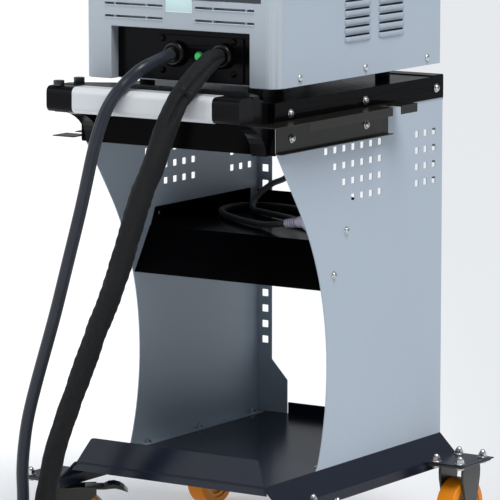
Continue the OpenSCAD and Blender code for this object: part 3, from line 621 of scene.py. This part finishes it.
def gun_cord():
    """The gun's cable in its woven sleeve, pressed flat where it lies on the floor."""
    ring = turns(GUN_CENTRE, 180, GUN_COILED, lambda t: GUN_RING, lambda t: GUN_LIE)
    line = smooth_line(GUN_ROUTE + ring + turned(GUN_TAIL, GUN_CENTRE, GUN_TAIL_TURN)[1:], 0.003)
    verts, faces, uvs = sweep(line, GUN_SIDES, gun_radius)
    verts = [Vector((v.x, v.y, max(v.z, SLEEVE_FLAT))) for v in verts]
    o = piece("gun_cord", "cable_sleeve", verts, faces, replaces=["gun_cable", "gun_coil"])
    layer = o.data.uv_layers.new(name="weave")
    for polygon in o.data.polygons:
        for corner in polygon.loop_indices:
            u, v = uvs[o.data.loops[corner].vertex_index]
            if polygon.vertices[0] % GUN_SIDES == GUN_SIDES - 1 and u == 0 and len(polygon.vertices) == 4:
                u = 1.0
            layer.data[corner].uv = (u, v * WEFT_RIBS)
    collar = Build()
    end = facing(line[-1], line[-1] - line[-5])
    collar.lathe([(0, -30), (18.5, -30), (19.5, -27), (19, -20), (18, 2), (0, 2)], end)
    boot = collar.make("gun_cable_boot", "gland_rubber", slot="gun_plastic")
    tuple(line[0])
    round(line_length(line), 3)
    [tuple(q) for q in line]


def plug_pieces(end, ahead):
    """A moulded two-pin plug: the shell, the ribs of its cable boot, and its plated pins."""
    place = facing(end, ahead)
    body = Build()
    body.lathe([(0, 0), (7, 0), (8.5, 3), (10.5, 14), (15, 19), (18.2, 24), (18.6, 30), (18.6, 36),
                (17.4, 38), (0, 38)], place, 40)
    for k in range(5):
        low, r = -22 + k * 4.4, 7 + k * 0.3
        body.lathe([(6, low), (r, low + 0.6), (r, low + 2.6), (6, low + 3.2)], place, 20)
    shell = body.make("mains_plug", "plug_plastic", slot="mains_rubber")
    sharpen(shell, 40)
    metal_parts = Build()
    for x in (-9.5, 9.5):
        pin = place @ Matrix.Translation((0, x, 0))
        metal_parts.lathe([(0, 36), (2.4, 36), (2.4, 54), (1.8, 57), (0, 57)], pin, 16)
    pins = metal_parts.make("plug_pins", "nickel", slot="zinc_steel")
    return [shell, pins]


def relief_radius(s, a):
    """Radius of the ribbed relief, which tapers over its 42 mm. The angle a makes no difference."""
    return MM * (8.4 - 2.6 * s / 0.042) + MM * 0.5 * (math.sin(s * 1400) > 0)


def mains_cord():
    """The mains lead, its coil of two layers on the shelf, its plug and the relief at its exit."""
    inward = [MAINS_RING + MAINS_D, MAINS_RING, MAINS_RING - MAINS_D]
    radii = inward + inward[::-1]
    heights = [MAINS_LOW] * 3 + [MAINS_HIGH] * 3
    ring = turns(MAINS_CENTRE, -90, 180 + MAINS_TURNS * 360, lambda t: steps(t, radii, 0.2),
                 lambda t: steps(t, heights, 0.2))
    line = smooth_line(MAINS_ROUTE + ring + PLUG_ROUTE, 0.006)
    o = cord_curve("mains_cord", line, MAINS_D, "mains_rubber", ["mains_lead", "mains_coil_and_plug"])
    verts, faces, _ = sweep(catmull(line[:8], 0.0011), 24, relief_radius)
    relief = piece("mains_relief", "mains_rubber", verts, faces)
    plug = plug_pieces(line[-1], line[-1] - line[-3])
    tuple(line[0])
    round(line_length(line), 3)


# ---------------------------------------------------------------- trolley
def pan_screw(build, place, r):
    """A washer and a domed head of radius r, about local Z."""
    build.lathe([(0, 0), (r + 1.5, 0), (r + 1.5, 0.9), (r + 1.1, 1.2), (0, 1.2)], place, 28)
    build.lathe([(r, 1.2), (r, 2.4), (r * 0.93, 3.5), (r * 0.75, 4.4), (r * 0.5, 4.9), (0, 5.0)], place, 28)


def recess_shade_bars(build, place, r):
    """Painted shade: two dark crossed bars on the head that stand for the shaded recess of a screw of
    radius r.
    """
    for turn in (0, 90):
        spin = place @ Matrix.Rotation(math.radians(turn + 20), 4, "Z")
        build.block((-r * 0.5, -r * 0.1, 4.6), (r * 0.5, r * 0.1, 5.05), 0, spin)


SHEET = 1.5
RAIL_SCREWS_Y, RAIL_SCREWS_Z = (-454, -239, -23), 566
BRACKET_SCREWS_Y, BRACKET_SCREWS_Z = (-452, -238), 528
SHELF_SCREWS = ((-292, 368), (-328, 302))


def frame_screws():
    """The trolley's visible screws, and dark bars on each head as painted shade for its recess."""
    heads, slots = Build(), Build()
    for side in (-1, 1):
        spots = [(HALF + SHEET, y, RAIL_SCREWS_Z, 5.5) for y in RAIL_SCREWS_Y]
        spots += [(HALF + 2 * SHEET, y, BRACKET_SCREWS_Z, 5.5) for y in BRACKET_SCREWS_Y]
        spots += [(HALF, y, z, 4.5) for y, z in SHELF_SCREWS]
        for x, y, z, r in spots:
            place = facing(at(side * x, y, z), (side, 0, 0))
            pan_screw(heads, place, r)
            recess_shade_bars(slots, place, r)
    sharpen(heads.make("screw_heads", "zinc_steel", replaces=["frame_screws"]), 50)
    # Painted shade: dark bars where each head's recess would lie in shade.
    slots.make("screw_recess_shade", "knob_plastic", slot="zinc_steel", smooth=False)


TRAY_BOLTS_Y, TRAY_BOLTS_IN = (-338, -190, -32), 11


def tray_bolts():
    """Hexagon heads that hold the side panels' feet to the tray."""
    heads = Build()
    for side in (-1, 1):
        for y in TRAY_BOLTS_Y:
            place = facing(at(side * (HALF - TRAY_BOLTS_IN), y, SHEET), (0, 0, 1))
            heads.lathe([(0, 0), (7, 0), (7, 0.9), (6.6, 1.2), (0, 1.2)], place, 24)
            hexagon(heads, place, 5.4, 1.2, 4.6)
            heads.lathe([(0, 4.6), (3, 4.6), (3, 6.2), (2.4, 6.8), (0, 6.8)], place, 16)
    sharpen(heads.make("tray_bolt_heads", "zinc_steel", replaces=["tray_bolts"]), 40)


def hexagon(build, place, r, low, high):
    """A hexagon nut with its corners turned off."""
    corners = [math.radians(60 * k + 15) for k in range(6)]
    outline = [(r * math.cos(a), r * math.sin(a)) for a in corners]
    build.prism(outline, low + 0.5, high - 0.5, place)
    small = [(x * 0.9, y * 0.9) for x, y in outline]
    build.prism(small, low, high, place)


CASTER_X, REAR_CASTER_Y, FRONT_CASTER_Y = HALF + 64, -46, -487
BOLT_DX, BOLT_DY, EAR_Z = 22, 36, -30


def caster_nuts():
    """Washer, nut and domed cap over each caster bolt, and its head below."""
    nuts = Build()
    dome = [(5 * math.cos(a), 7.5 + 5.2 * math.sin(a)) for a in [math.radians(15 * k) for k in range(6)]]
    for x in (-CASTER_X, CASTER_X):
        for y in (REAR_CASTER_Y, FRONT_CASTER_Y):
            for i in (-1, 1):
                for j in (-1, 1):
                    place = facing(at(x + i * BOLT_DX, y + j * BOLT_DY, EAR_Z), (0, 0, 1))
                    nuts.lathe([(0, 0), (8.5, 0), (8.5, 1.1), (8.1, 1.5), (0, 1.5)], place, 28)
                    hexagon(nuts, place, 6.8, 1.5, 7.5)
                    nuts.lathe([(0, 7.2), *dome, (0, 12.7)], place, 24)
                    under = facing(at(x + i * BOLT_DX, y + j * BOLT_DY, EAR_Z - 6), (0, 0, -1))
                    nuts.lathe([(0, -0.2), (7, -0.2), (7, 1.8), (5.5, 3.4), (0, 3.8)], under, 24)
    sharpen(nuts.make("caster_nuts", "zinc_steel", replaces=["caster_bolts"]), 40)


# ---------------------------------------------------------------- machine
LOUVER_Y, LOUVER_L, LOUVER_PITCH, LOUVERS = (-296, -196), 72, 13.6, 14
LOUVER_Z = DECK + 63.5


def louvers():
    """The pressed lip under each slit of the cover's sides: a low hood with closed, rounded ends."""
    lips = Build()
    across, along = 6, 14
    for side in (-1, 1):
        for y in LOUVER_Y:
            for k in range(LOUVERS):
                z = LOUVER_Z + k * LOUVER_PITCH
                verts, faces = [], []
                for i in range(along + 1):
                    t = i / along
                    rise = min(1, math.sin(math.pi * t) * 2.6) ** 0.7 if 0 < t < 1 else 0.0
                    for j in range(across + 1):
                        a = math.pi / 2 * j / across
                        out = 3.2 * rise * math.cos(a) ** 0.8 if j < across else 0.0
                        verts.append(at(side * (HALF + out + 0.02), y - 1 + (LOUVER_L + 2) * t,
                                        z + 0.1 - 7.5 * math.sin(a)))
                for i in range(along):
                    for j in range(across):
                        q = [i * (across + 1) + j, (i + 1) * (across + 1) + j,
                             (i + 1) * (across + 1) + j + 1, i * (across + 1) + j + 1]
                        faces.append(q if side > 0 else q[::-1])
                lips.add(verts, faces)
    o = lips.make("cover_louvers", "panel_paint")
    thick = o.modifiers.new("sheet", "SOLIDIFY")
    thick.thickness = 0.0009
    thick.offset = -1


GLANDS = ((-15.5, 648), (71.5, 649))
LED_X, LED_Z = 27.5, 646
PLATE_RIVETS_X, PLATE_RIVETS_Z = (-40, 91), (622, 671)
# The grille's slots: their heights, and each one's ends with the shares of its length where a bar stands.
SLOTS_Z = (DECK + 97.5, DECK + 117)
SLOTS_X = ((-138, -30, (0.17, 0.72)), (30, 138, (0.30, 0.86)))
LABEL_LOW, LABEL_HIGH = (-23.5, DECK + 108), (25, DECK + 128.8)


def gland_rings():
    """Rubber bushings of the two cables: a fat rolled ring round a ribbed sleeve."""
    rings = Build()
    sweep_round = [math.radians(-60 + 20 * k) for k in range(15)]
    roll = [(15.2 + 4.8 * math.cos(a), 6.4 + 5.4 * math.sin(a)) for a in sweep_round]
    for x, z in GLANDS:
        place = facing(at(x, PLATE_Y, z), (0, -1, 0))
        rings.lathe([(0, 0), (17.6, 0), (17.6, 1.5), *roll, (11.8, 9), (11.4, 12), (0, 12)], place, 56)
    sharpen(rings.make("gland_rings", "gland_rubber", replaces=["cable_glands"]), 55)


def front_details():
    """The well's rivets and lamp, the bars across the grille's slots, and the blank label."""
    rivets = Build()
    for x in PLATE_RIVETS_X:
        for z in PLATE_RIVETS_Z:
            place = facing(at(x, PLATE_Y, z), (0, -1, 0))
            rivets.lathe([(5, 0), (5, 1.2), (4.2, 2.4), (2.6, 3.1), (0, 3.3)], place, 24)
    sharpen(rivets.make("plate_rivets", "black_plastic"), 60)
    lamp_place = facing(at(LED_X, PLATE_Y, LED_Z), (0, -1, 0))
    ring = Build()
    ring.lathe([(5.4, 0), (7.8, 0), (7.8, 1.4), (6.8, 2.6), (5.4, 2.6), (5.4, 0)], lamp_place, 32)
    ring.make("led_ring", "button_green", slot="black_plastic")
    dome = Build()
    dome.lathe([(5.3, 0.5), (5.3, 2), (4.4, 3.6), (2.6, 4.6), (0, 4.9)], lamp_place, 32)
    dome.make("led_dome", "led_green")
    bars = Build()
    for z in SLOTS_Z:
        for x0, x1, shares in SLOTS_X:
            for share in shares:
                x = x0 + (x1 - x0) * share
                bars.block(at(x - 1.3, FACE_Y + 0.7, z - 1.9), at(x + 1.3, FACE_Y + 11, z + 1.9), 0.0003)
            bars.block(at(x0 - 1, FACE_Y - 1.1, z - 3.9), at(x1 + 1, FACE_Y + 0.5, z - 1.7), 0.0006)
    bars.make("grille_bars", "bezel_plastic")
    (x0, z0), (x1, z1) = LABEL_LOW, LABEL_HIGH
    label = Build()
    label.block(at(x0, FACE_Y - 0.5, z0), at(x1, FACE_Y + 0.1, z1), 0.0002)
    label.make("blank_label", "label_film", slot="bezel_plastic")
    border = Build()
    for z in (z0 + 1, z1 - 0.8):
        border.block(at(x0 + 0.5, FACE_Y - 0.58, z - 0.7), at(x1 - 0.5, FACE_Y - 0.4, z + 0.7))
    for x in (x0 + 0.9, x1 - 0.9):
        border.block(at(x - 0.5, FACE_Y - 0.58, z0 + 1), at(x + 0.5, FACE_Y - 0.4, z1 - 0.8))
    border.make("label_border", "label_rim", slot="bezel_plastic", smooth=False)


KNOB_X, KNOB_Z = 80, DECK + 190
BUTTON_X, BUTTON_Z = 20, DECK + 150
WINDOW_X, WINDOW_Z = 38, (DECK + 180, DECK + 222)
LEVEL_BARS, LEVEL_PITCH = 10, 6.2
DIAL_TICKS, DIAL_R = 11, 22


def panel_details():
    """Display window, tick marks and knob flutes of the control panel; no lettering."""
    window = Build()
    window.block(at(-WINDOW_X, FACE_Y - 0.9, WINDOW_Z[0]), at(WINDOW_X, FACE_Y + 1.2, WINDOW_Z[1]), 0.0009)
    window.make("display_window", "display_film")
    glow = Build()
    foot = WINDOW_Z[0] + 7
    for k in range(LEVEL_BARS):
        x = -30 + LEVEL_PITCH * k
        glow.block(at(x, FACE_Y - 1.1, foot), at(x + 3.4, FACE_Y - 0.85, foot + 4 + 2.2 * k))
    glow.make("level_bars", "led_green", smooth=False)
    ticks = Build()
    for x in (-KNOB_X, KNOB_X):
        for k in range(DIAL_TICKS):
            a = math.radians(225 - 27 * k)
            mark = at(x + DIAL_R * math.cos(a), FACE_Y + 1, KNOB_Z + DIAL_R * math.sin(a))
            place = facing(mark, (0, -1, 0))
            spin = place @ Matrix.Rotation(-a, 4, "Z")
            ticks.block((-2.4, -0.45, 0), (2.4, 0.45, 0.25), 0, spin)
    ticks.make("dial_ticks", "grip_plastic", smooth=False)
    for x, body in ((-KNOB_X, "knob_current"), (KNOB_X, "knob_time")):
        skirt = Build()
        place = facing(at(x, FACE_Y - 2, KNOB_Z), (0, -1, 0))
        outline = []
        for k in range(96):
            a = 2 * math.pi * k / 96
            r = 15.4 + 0.55 * math.cos(24 * a)
            outline.append((r * math.cos(a), r * math.sin(a)))
        skirt.prism(outline, 2, 14.5, place)
        skirt.lathe([(17.5, 0.2), (17.5, 1.6), (16, 2.4), (0, 2.4)], place, 48)
        sharpen(skirt.make(body + "_flutes", "knob_plastic", body=body), 40)
    rims = Build()
    for x in (-BUTTON_X, BUTTON_X):
        rims.lathe([(6.4, 0), (9, 0), (9, 1.4), (8.2, 2), (6.4, 2), (6.4, 0)],
                   facing(at(x, FACE_Y + 1, BUTTON_Z), (0, -1, 0)), 40)
    rims.make("button_rims", "nickel", slot="zinc_steel")


BACK_Y = -9
BACK_SCREWS_X, BACK_SCREWS_Z = 168, (14, 150, 286)
FAN_X, FAN_SCREWS = 70, 52.5
# The switch's surround: outer corners, seen from the front, and the width of its four bars.
SWITCH_LOW, SWITCH_HIGH, SWITCH_RIM = (-138, DECK + 106), (-102, DECK + 154), 4


def rear_details():
    """Screws of the rear panel and the fan, and the surround of the mains switch."""
    screws = Build()
    for x, z in [(side * BACK_SCREWS_X, DECK + up) for side in (-1, 1) for up in BACK_SCREWS_Z]:
        place = facing(at(x, BACK_Y, z), (0, 1, 0))
        screws.lathe([(4.5, 0), (4.5, 1), (3.6, 2.2), (2, 2.8), (0, 3)], place, 24)
    for x, z in [(FAN_X + i * FAN_SCREWS, KNOB_Z + j * FAN_SCREWS) for i in (-1, 1) for j in (-1, 1)]:
        place = facing(at(x, BACK_Y, z), (0, 1, 0))
        screws.lathe([(5, 0), (5, 1), (4, 2.4), (2, 3), (0, 3.2)], place, 24)
    sharpen(screws.make("rear_screws", "zinc_steel"), 50)
    (x0, z0), (x1, z1) = SWITCH_LOW, SWITCH_HIGH
    inner0, inner1 = x0 + SWITCH_RIM, x1 - SWITCH_RIM
    bars = [(x0, z0, inner0, z1), (inner1, z0, x1, z1), (inner0, z0, inner1, z0 + SWITCH_RIM),
            (inner0, z1 - SWITCH_RIM, inner1, z1)]
    bezel = Build()
    for low_x, low_z, high_x, high_z in bars:
        bezel.block(at(low_x, BACK_Y - 0.2, low_z), at(high_x, BACK_Y + 2, high_z), 0.0006)
    bezel.make("switch_bezel", "black_plastic")


COVER_SCREWS_Y = (-425, -236, -50)


def cover_screw_marks():
    """Domed heads along the lower edge of the cover's sides."""
    marks = Build()
    for side in (-1, 1):
        for y in COVER_SCREWS_Y:
            place = facing(at(side * (HALF + 1), y, DECK + 12), (side, 0, 0))
            marks.lathe([(5.6, 0), (5.3, 1), (4.2, 1.9), (2.4, 2.5), (0, 2.7)], place, 28)
    sharpen(marks.make("cover_screw_domes", "zinc_steel"), 50)


# ---------------------------------------------------------------- CAD nodes
# Width in millimetres of the rounding on each node's edges.
SOFT_EDGES = {
    "handle_grip": 1.2, "handle_bar": 0.8, "handle_arms": 1.0, "hook_pegs": 2.4, "front_bezel": 1.2,
    "machine_cover": 0.6, "base_tray": 0.5, "mid_shelf": 0.4, "top_rail_left": 0.4,
    "top_rail_right": 0.4, "cross_plates": 0.4,
    "hook_bracket_left": 0.4, "hook_bracket_right": 0.4, "rear_forks": 0.8, "front_fork_left": 0.8,
    "front_fork_right": 0.8, "brake_pedal_left": 0.9, "brake_pedal_right": 0.9, "rear_axles": 0.6,
    "swivel_plates": 0.8, "current_knob": 0.7, "time_knob": 0.7, "mode_button": 0.8, "start_button": 0.8,
    "connector_plate": 0.7, "mains_switch": 1.0, "gun_body": 3.0, "gun_trigger": 1.5, "earth_lug": 0.5,
    "machine_feet": 1.0, "control_panel": 0.3, "rear_panel": 0.3, "fan_frame": 0.5,
}
NODE_FINISH = {"hook_bracket_left": "bracket_paint", "hook_bracket_right": "bracket_paint"}


def dress_nodes():
    """Gives every CAD node its slot's material, and rounds the edges that catch the light."""
    slots = {s["node"]: s["material_slot"] for s in frame["record"]["subparts"]}
    for name, node in frame["nodes"].items():
        material = MATERIALS[NODE_FINISH.get(name, slots[name])]
        if node.material_slots:
            for s in node.material_slots:
                s.material = material
        else:
            node.data.materials.append(material)
        if name in SOFT_EDGES:
            weld = node.modifiers.new("weld", "WELD")
            weld.merge_threshold = 0.00001
            edge = node.modifiers.new("edge", "BEVEL")
            edge.width = SOFT_EDGES[name] * MM
            edge.segments = 2
            edge.limit_method = "ANGLE"
            edge.angle_limit = math.radians(40)
            edge.harden_normals = False


# ---------------------------------------------------------------- stage
def lamp(name, kind, place, target, power, colour, **settings):
    """A light at place that points at target."""
    data = bpy.data.lights.new(name, kind)
    data.energy = power
    data.color = colour
    for key, value in settings.items():
        setattr(data, key, value)
    o = bpy.data.objects.new(name, data)
    bpy.context.collection.objects.link(o)
    o.location = place
    o.rotation_euler = (Vector(target) - Vector(place)).to_track_quat("-Z", "Y").to_euler()


FLOOR_REACH = 40
# Painted shade on the floor: the paper is painted paler to the camera's left and darker to its right, where
# less light falls:
# the two tones, the blend's ends in metres along the camera's right, and a painted glow that lifts the
# trolley's shadow.
FLOOR_PALE, FLOOR_PAINTED_SHADE = (0.82, 0.825, 0.84), (0.53, 0.542, 0.56)
FLOOR_BLEND = (-0.15, 0.5)
FLOOR_PAINTED_GLOW = 0.25


def stage():
    """Pale paper floor with painted shade to the camera's right and a painted glow that lifts the trolley's
    shadow, pale surroundings, one broad key light and a soft fill.
    """
    bpy.context.scene.view_settings.view_transform = "Standard"
    world = bpy.data.worlds.new("studio")
    bpy.context.scene.world = world
    world.use_nodes = True
    background = world.node_tree.nodes["Background"]
    background.inputs["Color"].default_value = (0.90, 0.95, 1.0, 1)
    background.inputs["Strength"].default_value = 0.32
    mesh = bpy.data.meshes.new("floor")
    corners = [(x * FLOOR_REACH, y * FLOOR_REACH, 0) for x, y in ((-1, -1), (1, -1), (1, 1), (-1, 1))]
    mesh.from_pydata(corners, [], [(0, 1, 2, 3)])
    m, p = shader("floor_paper", FLOOR_PALE, 0.8)
    split = add(m, "ShaderNodeSeparateXYZ")
    turned_place = place_of(m)
    turned_place.node.inputs["Rotation"].default_value = (0, 0, math.radians(-CAMERA_TURN))
    link(m, turned_place, split.inputs["Vector"])
    # Painted shade: the floor darkens towards the camera's right.
    across = add(m, "ShaderNodeMapRange", interpolation_type="SMOOTHSTEP")
    across.inputs["From Min"].default_value, across.inputs["From Max"].default_value = FLOOR_BLEND
    link(m, split.outputs["X"], across.inputs["Value"])
    tone = ramp(m, across.outputs["Result"], [(0.0, FLOOR_PALE), (1.0, FLOOR_PAINTED_SHADE)])
    link(m, tone, p.inputs["Base Color"])
    # Painted light: the floor glows to lift the trolley's shadow.
    p.inputs["Emission Color"].default_value = (0.95, 0.97, 1.0, 1)
    p.inputs["Emission Strength"].default_value = FLOOR_PAINTED_GLOW
    p.inputs["Specular IOR Level"].default_value = 0.1
    mesh.materials.append(m)
    floor = bpy.data.objects.new("floor", mesh)
    bpy.context.collection.objects.link(floor)
    lamp("key", "SUN", (3.6, -1.7, 7.9), (0, 0, 0.4), 2.8, (1, 0.985, 0.965), angle=math.radians(30))
    lamp("fill", "AREA", (-3.0, -3.4, 2.2), (0, 0, 0.5), 34, (0.93, 0.97, 1), size=2.4)


# ---------------------------------------------------------------- build
make_camera()
earth_cord()
gun_cord()
mains_cord()
frame_screws()
tray_bolts()
caster_nuts()
louvers()
gland_rings()
front_details()
panel_details()
rear_details()
cover_screw_marks()
dress_nodes()
stage()

bpy.context.view_layer.update()
